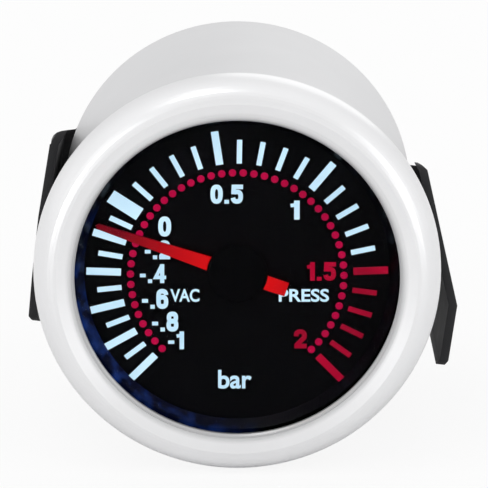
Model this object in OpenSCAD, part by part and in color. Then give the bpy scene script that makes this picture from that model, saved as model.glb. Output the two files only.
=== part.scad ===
// Mechanical boost gauge for a dashboard: round case and crimped bezel, dial with
// its lamp board, bourdon tube movement, pressure fitting and clamping bracket.
// The gauge axis is Y, the dial faces -Y and +Z is up. The origin lies on the axis,
// in the plane where the bezel's rear face meets the dashboard panel.

/* [Case] */
// Radius of the round barrel that goes through the panel
case_r = 26.2; // [25.4:0.2:28]
// Wall of the barrel
case_wall = 1.2; // [0.9:0.1:1.5]
// Length of the case behind the panel
case_len = 47; // [45:1:56]
// Thickness of the rear wall
rear_wall = 1.6; // [1.2:0.1:2]
// Rounding of the barrel's rear edge
rear_round = 2.2; // [1:0.2:2.6]
// Thickness of the flange that the bezel grips
flange_t = 1.6; // [1.2:0.1:2]
// Inward reach of the ledge that carries the lamp board
ledge_in = 1.2; // [0.8:0.1:1.6]
// Thickness of the ledge
ledge_t = 1.2; // [0.8:0.1:1.6]

/* [Bezel] */
// How far the bezel stands out beyond the barrel
bezel_over = 3.8; // [3.5:0.1:5]
// Width of the bezel's front ring
face_w = 6.1; // [5.8:0.1:7]
// Wall of the bezel round the flange
bezel_wall = 1.2; // [0.9:0.1:1.4]
// Thickness of the lip crimped behind the flange
crimp_t = 1; // [0.8:0.1:1.4]
// Thickness of the lip over the lens
lip_t = 0.8; // [0.6:0.1:1.2]
// Rise of the ring's crest over the lens lip
crest_rise = 0.8; // [0.5:0.1:1.2]
// Radial width of the rounded shoulder
shoulder_w = 3.4; // [2.8:0.1:3.8]
// Rounding of the rear outer edge
bezel_edge = 0.8; // [0.4:0.1:1]
// Width of the small step round the lens lip
step_w = 0.5; // [0.3:0.1:0.8]
// Depth of the small step round the lens lip
step_d = 0.25; // [0.1:0.05:0.4]

/* [Lens and seal] */
// Thickness of the lens
lens_t = 1.4; // [1:0.1:2]
// Thickness of the lens gasket
gasket_t = 0.6; // [0.4:0.1:1]
// Wall of the black shade ring at the lens
shade_wall = 1.2; // [0.9:0.1:1.4]
// Extra wall of the shade ring at the dial
shade_lean = 1.2; // [0.6:0.1:1.4]

/* [Dial and lamps] */
// Thickness of the dial plate
dial_t = 0.8; // [0.6:0.1:1.2]
// Radius of the dial's centre hole
dial_hole_r = 2.2; // [2:0.1:2.6]
// Thickness of the clear light guide
guide_t = 1.6; // [1.2:0.1:2]
// Space between light guide and lamp board
spacer_t = 1.2; // [1:0.1:1.6]
// Radial width of the spacer ring
spacer_w = 1.8; // [1.4:0.1:2.4]
// Thickness of the lamp board
board_t = 1.2; // [0.8:0.1:1.6]
// Number of lamps on the board
lamp_count = 16; // [8:4:24]
// Length of one lamp
lamp_l = 2; // [1.6:0.1:2.4]
// Width of one lamp
lamp_w = 1.2; // [0.8:0.1:1.6]
// Height of one lamp
lamp_h = 0.8; // [0.6:0.1:0.9]
// Radius of the circle of lamps
lamp_ring_r = 15.7; // [14:0.1:18]

/* [Pointer] */
// Reading angle of the pointer at rest, counted from the right
pointer_rest_a = 160.8; // [100:0.1:220]
// Thickness of the pointer
needle_t = 0.4; // [0.3:0.05:0.6]
// Gap between the pointer's tip and the lens opening
tip_margin = 1.9; // [1.6:0.1:4]
// Width of the pointer at its root
needle_root_w = 2.1; // [1.6:0.1:2.6]
// Width of the pointer at its tip
needle_tip_w = 0.8; // [0.5:0.1:1.2]
// Length of the tail from the axis
tail_len = 7.7; // [6.5:0.1:9]
// Radius of the black hub cap
hub_cap_r = 4.5; // [4:0.1:5.2]
// Thickness of the hub cap
hub_cap_t = 0.45; // [0.35:0.05:0.6]
// Radius of the pointer's boss
boss_r = 1.4; // [1.2:0.1:1.7]

/* [Movement] */
// Gear module of sector and pinion
gear_module = 0.4; // [0.36:0.01:0.42]
// Teeth of the pinion
pinion_teeth = 10; // [10:1:11]
// Teeth that a full circle of the sector would have
sector_full_teeth = 60; // [58:1:62]
// Teeth that the sector really has
sector_teeth = 13; // [12:1:14]
// Thickness of the sector gear
sector_t = 1.1; // [0.8:0.1:1.4]
// Length of the pinion
pinion_l = 1.9; // [1.6:0.1:2.4]
// Radius of the two arbors
arbor_r = 0.6; // [0.5:0.05:0.7]
// Thickness of the two movement plates
plate_t = 1.2; // [1:0.1:1.5]
// Space between the movement plates
plate_gap = 9.6; // [9:0.1:11]
// Radius of the pillars between the plates
pillar_r = 1.5; // [1.3:0.1:1.7]
// Distance of the upper pillars from the middle
pillar_x = 9; // [8.5:0.1:10]
// Length of the sector's tail to its pin
tail_r = 3.2; // [2.8:0.1:3.4]
// Thickness of the link
link_t = 0.7; // [0.5:0.1:0.9]
// Width of the link between its eyes
link_w = 1.2; // [1:0.1:1.6]
// Thickness of the hairspring's strip
hair_t = 0.14; // [0.1:0.01:0.18]
// Width of the hairspring's strip
hair_w = 0.8; // [0.6:0.1:1]
// Step of the hairspring from turn to turn
hair_pitch = 0.55; // [0.45:0.05:0.65]
// Turns of the hairspring
hair_turns = 5; // [4:1:6]

/* [Bourdon tube] */
// Distance of the tube's middle line from the barrel's inner wall
tube_inset = 4.8; // [4.6:0.1:5.4]
// Radial thickness of the flattened tube
tube_t = 2.2; // [1.8:0.1:2.4]
// Width of the flattened tube along the gauge axis
tube_w = 7; // [6:0.2:8]
// Wall of the tube
tube_wall = 0.3; // [0.2:0.05:0.4]
// Angle of the tube's root, counted from the right
tube_root_a = 240; // [236:1:244]
// Angle of the tube's free end
tube_tip_a = -25; // [-28:1:-20]

/* [Pressure fitting] */
// Radius of the threaded stem
stem_r = 4; // [3.5:0.1:4.5]
// Radius of the hose nipple
nipple_r = 2.5; // [2.2:0.1:3]
// Length of the plain nipple
nipple_l = 12; // [8:0.5:16]
// Radius of the pressure bore
pressure_bore_r = 1.1; // [0.8:0.1:1.5]
// Radius of the stem's boss inside the case
socket_boss_r = 8; // [7:0.1:9]
// Width across the flats of the stem nut
stem_nut_af = 13; // [12:0.5:14]
// Thickness of the stem nut
stem_nut_t = 4; // [3:0.5:5]

/* [Studs and bracket] */
// Radius of the two clamping studs
stud_r = 2; // [1.8:0.1:2.2]
// Distance of the studs from the gauge axis
stud_x = 16.5; // [16:0.1:18]
// Roll of the bracket, clockwise seen from the front
bracket_roll = 6.5; // [0:0.5:8]
// Gap between the bezel's rear face and the legs
leg_gap = 9; // [7:0.5:14]
// Reach of the left leg beyond the barrel, at its front edge
left_leg_out = 3.7; // [3.4:0.1:5]
// Reach of the right leg beyond the barrel, at its front edge
right_leg_out = 7.2; // [6:0.1:8]
// Thickness of the legs
leg_t = 1.3; // [1:0.1:1.6]
// Inward turn of the legs towards the back
leg_splay_a = 2.2; // [1:0.2:2.4]
// Height of the legs
leg_h = 30; // [26:1:32]
// Width of the bridge above its stud holes
bridge_rim = 1.4; // [1:0.1:2]
// Thickness of the bracket's bridge
bridge_t = 2; // [1.6:0.1:2.6]
// Space between case and bridge
bridge_gap = 7; // [6.4:0.1:8]
// Rounding of the bracket's rear corners
bridge_round = 3; // [2:0.2:3.6]
// Radius of the bridge's centre hole
bridge_hole_r = 9; // [8.6:0.1:9.4]
// Width of the eye round the centre hole
bridge_eye_w = 3; // [2.6:0.1:3.4]
// Width of the lugs round the stud holes
stud_lug_w = 3.4; // [3.2:0.1:4]
// Radius of the thumb nuts
thumb_nut_r = 5; // [4.4:0.1:5.4]
// Thickness of the thumb nuts
thumb_nut_t = 5; // [4:0.5:6]

/* [Hidden] */

// Facets of the large and small circles
round_fn = 96;
small_fn = 32;
// Gap between pieces assembled by hand, and the play of a turning arbor
fit_gap = 0.1;
run_gap = 0.05;
// Overrun of every cut
cut = 0.5;

// Radii of the case and bezel
case_in_r = case_r - case_wall;
bezel_r = case_r + bezel_over;
opening_r = bezel_r - face_w;
cavity_r = bezel_r - bezel_wall;
flange_r = cavity_r - fit_gap;
ledge_r = case_in_r - ledge_in;

// Stations along the gauge axis, from the front to the back
flange_rear_y = -crimp_t;
flange_front_y = flange_rear_y - flange_t;
lens_rear_y = flange_front_y - gasket_t;
lens_front_y = lens_rear_y - lens_t;
lip_front_y = lens_front_y - lip_t;
crest_y = lip_front_y - crest_rise;
cap_clear = 0.3;
cap_front_y = lens_rear_y + cap_clear;
needle_front_y = cap_front_y + hub_cap_t;
needle_rear_y = needle_front_y + needle_t;
needle_clear = 0.35;
dial_front_y = needle_rear_y + needle_clear;
dial_rear_y = dial_front_y + dial_t;
guide_rear_y = dial_rear_y + guide_t;
board_front_y = guide_rear_y + spacer_t;
board_rear_y = board_front_y + board_t;
ledge_rear_y = board_rear_y + ledge_t;
screw_head_h = 0.9;
plate_space = 2.2;
front_plate_y = ledge_rear_y + screw_head_h + plate_space;
front_plate_rear_y = front_plate_y + plate_t;
back_plate_y = front_plate_rear_y + plate_gap;
back_plate_rear_y = back_plate_y + plate_t;
rear_in_y = case_len - rear_wall;

// Movement: sector pivot below the gauge axis, everything in the front view
pinion_pitch_r = gear_module * pinion_teeth / 2;
sector_pitch_r = gear_module * sector_full_teeth / 2;
centre_d = pinion_pitch_r + sector_pitch_r;
tooth_backlash = 0.16;
pinion_add_share = 0.85;
sector_add_share = 0.7;
tooth_root_share = 1.15;
pressure_a = 20;
sector_step_a = 360 / sector_full_teeth;
pinion_step_a = 360 / pinion_teeth;
sector_mid_a = 78;
sector_tooth_first = round((sector_mid_a - 90) / sector_step_a - sector_teeth / 2);
arbor_over = 0.2;
gear_offset = 3.6;
sector_y = front_plate_rear_y + gear_offset;
link_space = 0.3;
link_y = sector_y + sector_t + link_space;
pin_r = 0.45;
pin_over = 0.2;
sector_hub_r = 1.6;
tail_a = -79;
tail_x = tail_r * cos(tail_a);
tail_z = -centre_d + tail_r * sin(tail_a);

// Bourdon tube and its free end
tube_r = case_in_r - tube_inset;
tube_space = 0.6;
tube_y = back_plate_rear_y + tube_space;
tip_cap_a = 9;
tip_cap_wall = 0.3;
tip_pin_a = tube_tip_a - tip_cap_a / 2;
tip_x = tube_r * cos(tip_pin_a);
tip_z = tube_r * sin(tip_pin_a);
link_play = 0.35;
link_a = atan2(tip_z - tail_z, tip_x - tail_x);
link_len = norm([tip_x - tail_x, tip_z - tail_z]);

// Movement plates and their pillars, as [x, z] in the front view
plate_rim = 2.4;
pillar_z_share = 0.3;
foot_span_a = 46;
foot_wall = 2.3;
lower_pillar_a = 246;
lower_pillar_inset = 1.4;
pillar_places = [
    [pillar_x, pillar_x * pillar_z_share],
    [-pillar_x, pillar_x * pillar_z_share],
    polar(tube_r - lower_pillar_inset, lower_pillar_a)
];
socket_screw_as = [254, 277];
socket_screw_places = [for (a = socket_screw_as) polar(tube_r, a)];
screw_r = 0.7;
screw_l = 3;
screw_head_r = 1.4;

// Screw slots and small chamfers
slot_w = 0.4;
slot_d = 0.35;
small_edge = 0.3;

// Stem, washers and nut behind the case
seal_t = 0.8;
washer_t = 1;
seal_r = 6.6;
washer_r = 7.6;
stem_over = 0.8;
seal_rear_y = case_len + seal_t;
washer_rear_y = seal_rear_y + washer_t;
nut_rear_y = washer_rear_y + stem_nut_t;
stem_end_y = nut_rear_y + stem_over;
nipple_end_y = stem_end_y + nipple_l;
nipple_edge = 0.5;
socket_boss_l = 8;
socket_bar_w = 9;

// Wire grommet above the fitting
grommet_neck_r = 2.6;
grommet_rim_r = 3.6;
grommet_space = 2.8;
grommet_z = case_in_r - grommet_space - grommet_rim_r;
grommet_rim_t = 0.7;
grommet_bore_r = 1.2;

// Bracket: outer line of each leg from top to tip, as shares of its reach and of the height
left_leg_reach = case_r + left_leg_out;
right_leg_reach = case_r + right_leg_out;
left_leg_shares = [
    [0.945, 0.52], [0.983, 0.445], [1, 0.07], [0.998, -0.25], [0.993, -0.445], [0.97, -0.475]
];
right_leg_shares = [[0.779, 0.53], [0.8, 0.505], [1, -0.15], [0.991, -0.437], [0.978, -0.467]];
leg_round_share = 0.1;
bridge_y = case_len + bridge_gap;
bridge_rear_y = bridge_y + bridge_t;
hole_play = 0.3;
stud_hole_r = stud_r + hole_play;
bridge_top_z = stud_hole_r + bridge_rim;
stud_places = [for (side = [-1, 1]) polar(side * stud_x, -bracket_roll)];
stud_head_r = 3.4;
stud_head_t = 1.2;
stud_over = 2.4;
bracket_washer_t = 0.8;
bracket_washer_r = thumb_nut_r + small_edge;
thumb_nut_y = bridge_rear_y + bracket_washer_t;
stud_end_y = thumb_nut_y + thumb_nut_t + stud_over;
knurl_count = 18;
knurl_r = 0.35;
nut_play = 0.06;

// Point at radius r and angle a in the front view
function polar(r, a) = [r * cos(a), r * sin(a)];

// Arc of n steps round the point c, from angle a to angle b
function arc(c, rx, ry, a, b, n) =
    [for (i = [0 : n]) [c[0] + rx * cos(a + (b - a) * i / n), c[1] + ry * sin(a + (b - a) * i / n)]];

// Involute angle in degrees, where the base radius is the share c of the radius
function involute(c) = tan(acos(c)) * 180 / PI - acos(c);

// Half the angle that a tooth takes at radius r, on a gear of pitch radius p
function tooth_half(r, p) =
    (PI * gear_module / 2 - tooth_backlash) / (2 * p) * 180 / PI
    + involute(cos(pressure_a)) - involute(min(1, p * cos(pressure_a) / r));

// Outline of one tooth round angle a, from root to tip and back to the root
tooth_steps = 4;
function tooth(p, add, a) = let(
    root = p - gear_module * tooth_root_share,
    base = max(root, p * cos(pressure_a)),
    tip = p + add,
    rs = [for (i = [0 : tooth_steps]) base + (tip - base) * i / tooth_steps]
) concat(
    [polar(root, a - tooth_half(base, p))],
    [for (r = rs) polar(r, a - tooth_half(r, p))],
    [for (i = [tooth_steps : -1 : 0]) polar(rs[i], a + tooth_half(rs[i], p))],
    [polar(root, a + tooth_half(base, p))]
);

// Solid of revolution round the gauge axis, from a profile in radius and Y
module turned() {
    rotate([-90, 0, 0]) rotate_extrude($fn = round_fn) children();
}

// The same over part of a turn, between two angles of the front view
module turned_part(from_a, to_a) {
    rotate([-90, 0, 0]) rotate([0, 0, -to_a])
        rotate_extrude(angle = to_a - from_a, $fn = round_fn) children();
}

// Front view drawing extruded from the station y towards the back
module slab(y, depth) {
    translate([0, y + depth, 0]) rotate([90, 0, 0]) linear_extrude(depth) children();
}

// Round rod along the gauge axis at a place [x, z] of the front view
module rod(r, y, depth, place = [0, 0]) {
    translate([place[0], y, place[1]]) rotate([-90, 0, 0])
        cylinder(r = r, h = depth, $fn = r > pillar_r * 2 ? round_fn : small_fn);
}

// Ring along the gauge axis
module tube(r, bore, y, depth, place = [0, 0]) {
    difference() {
        rod(r, y, depth, place);
        rod(bore, y - cut, depth + 2 * cut, place);
    }
}

// Bezel: rounded shoulder, shallow ring and stepped lip, crimped behind the flange
module bezel_ring() {
    crest_r = bezel_r - shoulder_w;
    band_y = flange_rear_y;
    step_r = opening_r + step_w;
    color("whitesmoke") turned() polygon(concat(
        [[case_r + fit_gap, 0]],
        arc([bezel_r - bezel_edge, -bezel_edge], bezel_edge, bezel_edge, 90, 0, 4),
        arc([crest_r, band_y], shoulder_w, band_y - crest_y, 0, -90, 12),
        [
            [step_r + step_w, lip_front_y - step_d],
            [step_r, lip_front_y - step_d],
            [step_r, lip_front_y],
            [opening_r + step_d, lip_front_y],
            [opening_r, lip_front_y + step_d],
            [opening_r, lens_front_y],
            [cavity_r, lens_front_y],
            [cavity_r, flange_rear_y],
            [case_r + fit_gap, flange_rear_y]
        ]
    ));
}

// Flat lens held between the bezel's lip and the gasket
module lens() {
    color("lightsteelblue", 0.3) rod(cavity_r - fit_gap, lens_front_y, lens_t);
}

// Rubber gasket between lens and flange
module lens_gasket() {
    color("dimgray") tube(cavity_r - fit_gap, case_in_r, flange_front_y - gasket_t, gasket_t);
}

// Black shade ring that frames the dial and presses it on the light guide
module shade_ring() {
    out_r = case_in_r - fit_gap;
    in_r = min(out_r - shade_wall, opening_r);
    color("black") turned() polygon([
        [out_r, lens_rear_y], [out_r, dial_front_y],
        [in_r - shade_lean, dial_front_y], [in_r, lens_rear_y]
    ]);
}

// Case: flanged barrel with an inner ledge and a pierced rear wall
module case_cup() {
    round_c = [case_r - rear_round, case_len - rear_round];
    color("lightgray") difference() {
        turned() polygon(concat(
            [
                [0, rear_in_y], [case_in_r, rear_in_y], [case_in_r, ledge_rear_y],
                [ledge_r, ledge_rear_y], [ledge_r, board_rear_y], [case_in_r, board_rear_y],
                [case_in_r, flange_front_y], [flange_r, flange_front_y],
                [flange_r, flange_rear_y], [case_r, flange_rear_y]
            ],
            arc(round_c, rear_round, rear_round, 0, 90, 6),
            [[0, case_len]]
        ));
        rod(stem_r + fit_gap, rear_in_y - cut, rear_wall + 2 * cut);
        rod(grommet_neck_r + fit_gap, rear_in_y - cut, rear_wall + 2 * cut, [0, grommet_z]);
        for (p = stud_places) rod(stud_r + run_gap, rear_in_y - cut, rear_wall + 2 * cut, p);
    }
}

// Dial plate with its centre hole
module dial_plate() {
    color("black") tube(case_in_r - fit_gap, dial_hole_r, dial_front_y, dial_t);
}

// Clear light guide behind the dial
module light_guide() {
    color("honeydew", 0.6) tube(case_in_r - fit_gap, dial_hole_r, dial_rear_y, guide_t);
}

// Spacer ring that leaves room for the lamps
module spacer_ring() {
    out_r = case_in_r - fit_gap;
    color("dimgray") tube(out_r, out_r - spacer_w, guide_rear_y, spacer_t);
}

// Lamp board on the ledge of the case, with two notches for its leads
module lamp_board() {
    out_r = case_in_r - fit_gap;
    notch_w = lamp_l;
    color("darkgreen") difference() {
        tube(out_r, dial_hole_r, board_front_y, board_t);
        for (side = [-1, 1])
            translate([side * lamp_l * 2 - notch_w / 2, board_front_y - cut, out_r - ledge_in])
                cube([notch_w, board_t + 2 * cut, case_wall + ledge_in]);
    }
}

// Lamps in a circle on the front of the board
module lamps() {
    color("ivory") for (i = [0 : lamp_count - 1])
        rotate([0, i * 360 / lamp_count, 0])
            translate([lamp_ring_r - lamp_w / 2, board_front_y - lamp_h, -lamp_l / 2])
                cube([lamp_w, lamp_h, lamp_l]);
}

// Pointer: tapered needle, short tail and the boss on the arbor
module pointer() {
    tip_r = opening_r - tip_margin;
    color("crimson") difference() {
        union() {
            slab(needle_front_y, needle_t) rotate(pointer_rest_a) union() {
                polygon([
                    [0, -needle_root_w / 2], [hub_cap_r, -needle_root_w / 2],
                    [tip_r - needle_tip_w / 2, -needle_tip_w / 2], [tip_r, 0],
                    [tip_r - needle_tip_w / 2, needle_tip_w / 2],
                    [hub_cap_r, needle_root_w / 2], [0, needle_root_w / 2]
                ]);
                translate([-tail_len, -needle_root_w / 2]) square([tail_len, needle_root_w]);
                circle(r = hub_cap_r - needle_root_w, $fn = small_fn);
            }
            rod(boss_r, needle_rear_y - needle_t / 2, needle_t / 2 + needle_clear + dial_t);
        }
        rod(arbor_r + run_gap, cap_front_y, board_rear_y - cap_front_y);
    }
}

// Black cap over the middle of the pointer
module hub_cap() {
    color("black") turned() polygon([
        [0, needle_front_y], [hub_cap_r, needle_front_y],
        [hub_cap_r, needle_front_y - hub_cap_t / 3],
        [hub_cap_r - hub_cap_t, cap_front_y], [0, cap_front_y]
    ]);
}

// Pinion cut on the long arbor that carries the pointer
module pinion_arbor() {
    pinion_y = sector_y - (pinion_l - sector_t) / 2;
    color("goldenrod") union() {
        rod(arbor_r, needle_front_y, back_plate_rear_y + arbor_over - needle_front_y);
        slab(pinion_y, pinion_l) polygon([
            for (i = [0 : pinion_teeth - 1])
                each tooth(pinion_pitch_r, gear_module * pinion_add_share, -90 + i * pinion_step_a)
        ]);
    }
}

// Collet that holds the hairspring's inner end on the arbor
spring_y = front_plate_rear_y + screw_head_h;
collet_r = 1.3;
module spring_collet() {
    color("gold") tube(collet_r, arbor_r + run_gap, spring_y, hair_w);
}

// Hairspring: flat spiral from the collet out to its peg
hair_steps = 20;
hair_out_r = collet_r + hair_pitch * hair_turns;
module hairspring() {
    steps = hair_steps * hair_turns;
    function coil_r(i) = collet_r + hair_pitch * i / hair_steps;
    color("silver") slab(spring_y, hair_w) polygon(concat(
        [for (i = [0 : steps]) polar(coil_r(i), 360 * i / hair_steps)],
        [for (i = [steps : -1 : 0]) polar(coil_r(i) + hair_t, 360 * i / hair_steps)]
    ));
}

// Peg on the front plate for the hairspring's outer end
peg_r = 0.5;
module spring_peg() {
    color("goldenrod") rod(peg_r, front_plate_rear_y, screw_head_h + hair_w,
        [hair_out_r + hair_t + peg_r, 0]);
}

// Outline that both movement plates share
module plate_outline() {
    hull() {
        for (p = concat(pillar_places, [socket_screw_places[1]]))
            translate(p) circle(r = plate_rim, $fn = small_fn);
    }
}

// Bores of both plates for the two arbors
module arbor_bores(y) {
    rod(arbor_r + run_gap, y - cut, plate_t + 2 * cut);
    rod(arbor_r + run_gap, y - cut, plate_t + 2 * cut, [0, -centre_d]);
}

// Front movement plate, screwed on the pillars
module front_plate() {
    color("gold") difference() {
        slab(front_plate_y, plate_t) plate_outline();
        arbor_bores(front_plate_y);
        for (p = pillar_places) rod(screw_r + run_gap, front_plate_y - cut, plate_t + 2 * cut, p);
    }
}

// Back movement plate, screwed on the foot of the pressure socket
module back_plate() {
    color("gold") difference() {
        slab(back_plate_y, plate_t) plate_outline();
        arbor_bores(back_plate_y);
        for (p = pillar_places) rod(screw_r + run_gap, back_plate_y - cut, plate_t + 2 * cut, p);
        for (p = socket_screw_places)
            rod(screw_r + run_gap, back_plate_y - cut, plate_t + 2 * cut, p);
    }
}

// Pillars between the plates: bored in front, with a riveted spigot behind
module plate_pillars() {
    color("khaki") for (p = pillar_places) difference() {
        union() {
            rod(pillar_r, front_plate_rear_y, plate_gap, p);
            rod(screw_r, back_plate_y, plate_t, p);
        }
        rod(screw_r + run_gap, front_plate_rear_y - cut, screw_l + cut, p);
    }
}

// Slotted screw with its head in front of the station y
module slotted_screw(y, shank, place) {
    difference() {
        union() {
            rod(screw_head_r, y - screw_head_h, screw_head_h, place);
            rod(screw_r, y, shank, place);
        }
        translate([place[0] - screw_head_r - cut, y - screw_head_h - cut, place[1] - slot_w / 2])
            cube([2 * (screw_head_r + cut), slot_d + cut, slot_w]);
    }
}

// Screws that hold the front plate on its pillars
module plate_screws() {
    color("silver") for (p = pillar_places)
        slotted_screw(front_plate_y, plate_t + screw_l - small_edge, p);
}

// Screws that hold the movement on the pressure socket
module socket_screws() {
    color("silver") for (p = socket_screw_places)
        slotted_screw(back_plate_y, plate_t + screw_l - small_edge, p);
}

// Sector gear with three spokes, its tail and the tail's pin
module sector_gear() {
    first_a = 90 + (sector_tooth_first + 0.5) * sector_step_a;
    last_a = first_a + (sector_teeth - 1) * sector_step_a;
    rim_r = sector_pitch_r - gear_module * tooth_root_share - pillar_r;
    window_in_r = sector_hub_r + pillar_r;
    spoke_a = 7;
    window_a = (last_a - first_a - 3 * spoke_a) / 2;
    place = [0, -centre_d];
    color("goldenrod") difference() {
        union() {
            slab(sector_y, sector_t) translate(place) union() {
                difference() {
                    polygon(concat([[0, 0]], [
                        for (i = [0 : sector_teeth - 1])
                            each tooth(sector_pitch_r, gear_module * sector_add_share,
                                first_a + i * sector_step_a)
                    ]));
                    for (i = [0, 1]) let(a = first_a + spoke_a + i * (window_a + spoke_a))
                        polygon(concat(
                            arc([0, 0], rim_r, rim_r, a, a + window_a, 6),
                            arc([0, 0], window_in_r, window_in_r, a + window_a, a, 4)
                        ));
                }
                circle(r = sector_hub_r, $fn = small_fn);
                rotate(tail_a) translate([0, -link_w / 2]) square([tail_r, link_w]);
                translate(polar(tail_r, tail_a)) circle(r = link_w * 3 / 4, $fn = small_fn);
            }
            rod(pin_r, sector_y, sector_t + link_space + link_t + pin_over, [tail_x, tail_z]);
        }
        rod(arbor_r + run_gap, sector_y - cut, sector_t + 2 * cut, place);
    }
}

// Arbor of the sector, with a collar on each side of the gear
module sector_arbor() {
    place = [0, -centre_d];
    color("silver") union() {
        rod(arbor_r, front_plate_y - arbor_over, plate_gap + 2 * (plate_t + arbor_over), place);
        rod(arbor_r + small_edge, sector_y - small_edge, small_edge, place);
        rod(arbor_r + small_edge, sector_y + sector_t, small_edge, place);
    }
}

// Link from the sector's tail to the free end of the tube
module link() {
    eye_r = link_w;
    color("gold") difference() {
        slab(link_y, link_t) translate([tail_x, tail_z]) rotate(link_a) union() {
            translate([0, -link_w / 2]) square([link_len, link_w]);
            circle(r = eye_r, $fn = small_fn);
            translate([link_len, 0]) circle(r = eye_r + link_play, $fn = small_fn);
        }
        rod(pin_r + run_gap, link_y - cut, link_t + 2 * cut, [tail_x, tail_z]);
        rod(pin_r + link_play, link_y - cut, link_t + 2 * cut, [tip_x, tip_z]);
    }
}

// Flat oval section of the bourdon tube, grown by the margin
module tube_section(margin) {
    half_t = tube_t / 2;
    translate([tube_r, tube_y + tube_w / 2]) union() {
        translate([-half_t - margin, -tube_w / 2 + half_t])
            square([tube_t + 2 * margin, tube_w - tube_t]);
        for (side = [-1, 1]) translate([0, side * (tube_w / 2 - half_t)])
            circle(r = half_t + margin, $fn = small_fn);
    }
}

// Bourdon tube: flattened tube bent round the movement
module bourdon_tube() {
    color("peru") turned_part(tube_tip_a, tube_root_a) difference() {
        tube_section(0);
        tube_section(-tube_wall);
    }
}

// Cap that closes the tube's free end, with the post and pin for the link
module tube_tip() {
    post_r = 1;
    post_y = link_y + link_t + pin_over;
    color("goldenrod") union() {
        turned_part(tube_tip_a - tip_cap_a, tube_tip_a) tube_section(tip_cap_wall);
        rod(post_r, post_y, tube_y + tube_w / 2 - post_y, [tip_x, tip_z]);
        rod(pin_r, link_y - pin_over, post_y - link_y + 2 * pin_over, [tip_x, tip_z]);
    }
}

// Pressure socket: foot for tube and movement, bar, boss, threaded stem and nipple
module pressure_socket() {
    foot_in_r = tube_r - tube_t / 2 - foot_wall;
    foot_w = tube_t + 2 * foot_wall - case_wall;
    boss_y = rear_in_y - socket_boss_l;
    color("darkgoldenrod") difference() {
        union() {
            turned_part(tube_root_a, tube_root_a + foot_span_a)
                translate([foot_in_r, back_plate_rear_y])
                    square([foot_w, rear_in_y - back_plate_rear_y]);
            translate([-socket_bar_w / 2, boss_y, -tube_r])
                cube([socket_bar_w, socket_boss_l, tube_r]);
            rod(socket_boss_r, boss_y, socket_boss_l);
            rod(stem_r, boss_y, stem_end_y - boss_y);
            rod(nipple_r, boss_y, nipple_end_y - boss_y);
            turned() polygon([
                [0, nipple_end_y], [nipple_r, nipple_end_y],
                [nipple_r - nipple_edge, nipple_end_y + nipple_edge],
                [0, nipple_end_y + nipple_edge]
            ]);
        }
        rod(pressure_bore_r, boss_y + pressure_bore_r, nipple_end_y - boss_y);
        for (p = socket_screw_places)
            rod(screw_r + run_gap, back_plate_rear_y - cut, screw_l + cut, p);
    }
}

// Rubber seal under the washer
module stem_seal() {
    color("dimgray") tube(seal_r, stem_r + run_gap, case_len, seal_t);
}

// Washer under the stem nut
module stem_washer() {
    color("silver") tube(washer_r, stem_r + run_gap, seal_rear_y, washer_t);
}

// Hexagon nut that clamps the fitting in the case
module stem_nut() {
    color("goldenrod") difference() {
        slab(washer_rear_y, stem_nut_t) circle(r = stem_nut_af / sqrt(3), $fn = 6);
        rod(stem_r + run_gap, washer_rear_y - cut, stem_nut_t + 2 * cut);
    }
}

// Rubber grommet where the lamp leads enter, with a rim on both sides of the wall
module wire_grommet() {
    rim_in_y = rear_in_y - grommet_rim_t;
    color("dimgray") translate([0, 0, grommet_z]) turned() polygon([
        [grommet_bore_r, rim_in_y], [grommet_rim_r, rim_in_y], [grommet_rim_r, rear_in_y],
        [grommet_neck_r, rear_in_y], [grommet_neck_r, case_len], [grommet_rim_r, case_len],
        [grommet_rim_r - small_edge, case_len + grommet_rim_t],
        [grommet_bore_r, case_len + grommet_rim_t]
    ]);
}

// Studs pressed through the rear wall, heads inside the case
module clamp_studs() {
    color("silver") for (p = stud_places) {
        rod(stud_head_r, rear_in_y - stud_head_t, stud_head_t, p);
        rod(stud_r, rear_in_y - small_edge, stud_end_y - rear_in_y + small_edge, p);
    }
}

// One leg from its outer line, turned inwards towards the back; side is -1 on the left
module bracket_leg(side, reach, outer) {
    last = len(outer) - 1;
    translate([side * reach, leg_gap]) rotate([0, 0, side * leg_splay_a])
        translate([-side * reach, -leg_gap])
            slab(leg_gap - leg_t, bridge_rear_y - leg_gap + 2 * leg_t) polygon(concat(
                [for (p = outer) [side * p[0], p[1]]],
                [for (i = [last : -1 : 0]) [side * (outer[i][0] - leg_t), outer[i][1]]]));
}

// Bracket: bent legs beside the barrel, joined by a bridge behind the case
module bracket() {
    left_outer = [for (p = left_leg_shares) [p[0] * left_leg_reach, p[1] * leg_h]];
    right_outer = [for (p = right_leg_shares) [p[0] * right_leg_reach, p[1] * leg_h]];
    left_last = len(left_outer) - 1;
    right_last = len(right_outer) - 1;
    bridge_in = (bridge_y - leg_gap) * tan(leg_splay_a) + leg_t / 2;
    top_z = max(left_outer[0][1], right_outer[0][1]);
    low_z = min(left_outer[left_last][1], right_outer[right_last][1]);
    color([0.16, 0.16, 0.17]) rotate([0, bracket_roll, 0]) difference() {
        union() {
            intersection() {
                union() {
                    bracket_leg(-1, left_leg_reach, left_outer);
                    bracket_leg(1, right_leg_reach, right_outer);
                    slab(bridge_y, bridge_t) polygon(concat(
                        [for (p = right_outer) [p[0] - bridge_in, p[1]]],
                        [for (i = [left_last : -1 : 0]) [bridge_in - left_outer[i][0], left_outer[i][1]]]));
                }
                leg_side_view(top_z, low_z);
                bracket_plan();
            }
            rod(bridge_hole_r + bridge_eye_w, bridge_y, bridge_t);
            for (x = [-stud_x, stud_x])
                rod(stud_hole_r + stud_lug_w, bridge_y, bridge_t, [x, 0]);
        }
        rod(bridge_hole_r, bridge_y - cut, bridge_t + 2 * cut);
        for (x = [-stud_x, stud_x]) rod(stud_hole_r, bridge_y - cut, bridge_t + 2 * cut, [x, 0]);
    }
}

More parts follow.
